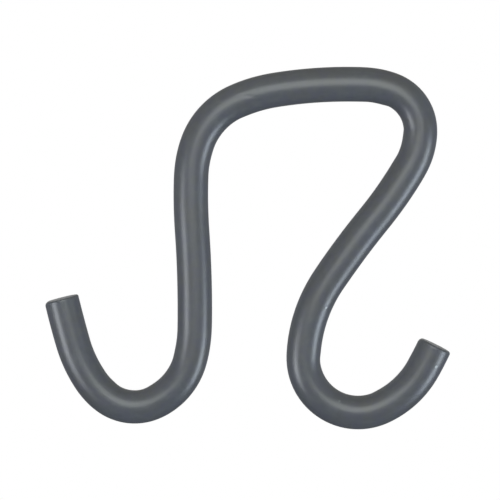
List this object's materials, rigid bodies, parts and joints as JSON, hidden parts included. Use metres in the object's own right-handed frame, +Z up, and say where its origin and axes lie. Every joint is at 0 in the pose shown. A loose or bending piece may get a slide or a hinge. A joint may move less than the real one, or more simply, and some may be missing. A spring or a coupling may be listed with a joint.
{
  "type": "hanging basket hook",
  "caption": "Bent round-bar hook: an upright loop that hangs over a rail, with an upturned basket hook on each side and sheared ends.",
  "frame": {"origin": "saddle: the highest point of the inner face of the loop, in the middle of the bar's thickness, where the hook bears on the rail", "axes": "+Z up as the hook hangs, +X to the right hook's side along the hook's width, +Y through the bar towards the back"},
  "size_m": [0.0701, 0.006, 0.0629],
  "materials": {
    "coated_bar": "satin dark grey coating on steel bar"
  },
  "bodies": {
    "root": {"hook": "coated_bar"}
  },
  "joints": []
}
